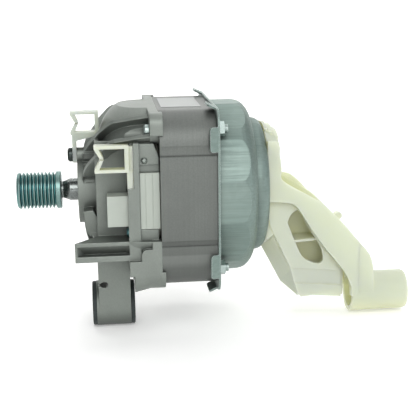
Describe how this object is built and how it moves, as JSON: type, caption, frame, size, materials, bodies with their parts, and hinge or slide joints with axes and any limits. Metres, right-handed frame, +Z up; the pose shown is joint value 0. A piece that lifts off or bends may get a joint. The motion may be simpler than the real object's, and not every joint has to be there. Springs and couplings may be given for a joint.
{
  "type": "washing machine drive motor",
  "caption": "Induction motor with ribbed die-cast shield, laminated stack, pressed rear cover, poly-V pulley, front bush and plastic rear support arm.",
  "frame": {"origin": "centre of the front pivot sleeve's bore, under the die-cast shield", "axes": "+X runs along the shaft from the pulley to the rear arm, parallel to the pivot bores; +Z is up, from the pivot to the shaft; the cable socket is on the -Y side"},
  "size_m": [0.2594, 0.1182, 0.1529],
  "materials": {
    "cast_aluminium": "satin die cast",
    "laminations": "stacked sheet edges",
    "galvanised": "zinc coated sheet",
    "nylon": "natural, semi matt",
    "clip_plastic": "natural, matt",
    "connector_plastic": "white, matt",
    "zinc": "bright zinc",
    "dark_zinc": "dark plated",
    "rubber": "matt",
    "sleeve_steel": "turned",
    "pulley_steel": "turned and plated",
    "shaft_steel": "ground",
    "copper": "enamelled wire",
    "insulator": "matt",
    "black_plastic": "matt",
    "bearing_steel": "ground",
    "ball_steel": "polished",
    "bearing_cage": "pressed",
    "seal": "matt",
    "label": "plain foil, bare",
    "cage_aluminium": "cast",
    "core_steel": "turned stack",
    "magnet": "sintered",
    "contact": "tinned",
    "spring_steel": "plain"
  },
  "bodies": {
    "housing": {"front_shield": "cast_aluminium", "front_bush_rubber": "rubber", "front_bush_sleeve": "sleeve_steel", "stator_core": "laminations", "stator_winding": "copper", "front_winding_collar": "insulator", "rear_winding_collar": "insulator", "thermal_protector": "black_plastic", "connector_block": "connector_plastic", "contact_pins": "contact", "earth_screw": "dark_zinc", "bay_screw": "dark_zinc", "cable_clip_top": "clip_plastic", "clip_screw": "dark_zinc", "cable_clip_side": "nylon", "rating_label": "label", "rear_cover": "galvanised", "through_bolts": "zinc", "flange_nuts": "zinc", "rear_arm": "nylon", "arm_screws": "zinc", "arm_nuts": "galvanised", "speed_coil": "copper", "preload_washer": "spring_steel", "retainer_ring": "spring_steel", "front_bearing_outer": "bearing_steel", "front_bearing_seals": "seal", "rear_bearing_outer": "bearing_steel", "rear_bearing_seals": "seal"},
    "rotor": {"pulley": "pulley_steel", "shaft": "shaft_steel", "rotor_core": "core_steel", "squirrel_cage": "cage_aluminium", "speed_magnet": "magnet", "front_bearing_inner": "bearing_steel", "rear_bearing_inner": "bearing_steel"},
    "front_cage": {"front_bearing_balls": "ball_steel", "front_bearing_cage": "bearing_cage"},
    "rear_cage": {"rear_bearing_balls": "ball_steel", "rear_bearing_cage": "bearing_cage"}
  },
  "joints": [
    {"name": "rotor_spin", "type": "hinge", "parent": "housing", "child": "rotor", "pos_m": [0, 0, 0.0788], "axis": [1, 0, 0], "continuous": true},
    {"name": "front_cage_spin", "type": "hinge", "parent": "housing", "child": "front_cage", "pos_m": [0, 0, 0.0788], "axis": [1, 0, 0], "continuous": true},
    {"name": "rear_cage_spin", "type": "hinge", "parent": "housing", "child": "rear_cage", "pos_m": [0.093, 0, 0.0788], "axis": [1, 0, 0], "continuous": true}
  ],
  "couplings": [
    {"joint": "front_cage_spin", "follows": "rotor_spin", "ratio": 0.38158},
    {"joint": "rear_cage_spin", "follows": "rotor_spin", "ratio": 0.381}
  ]
}
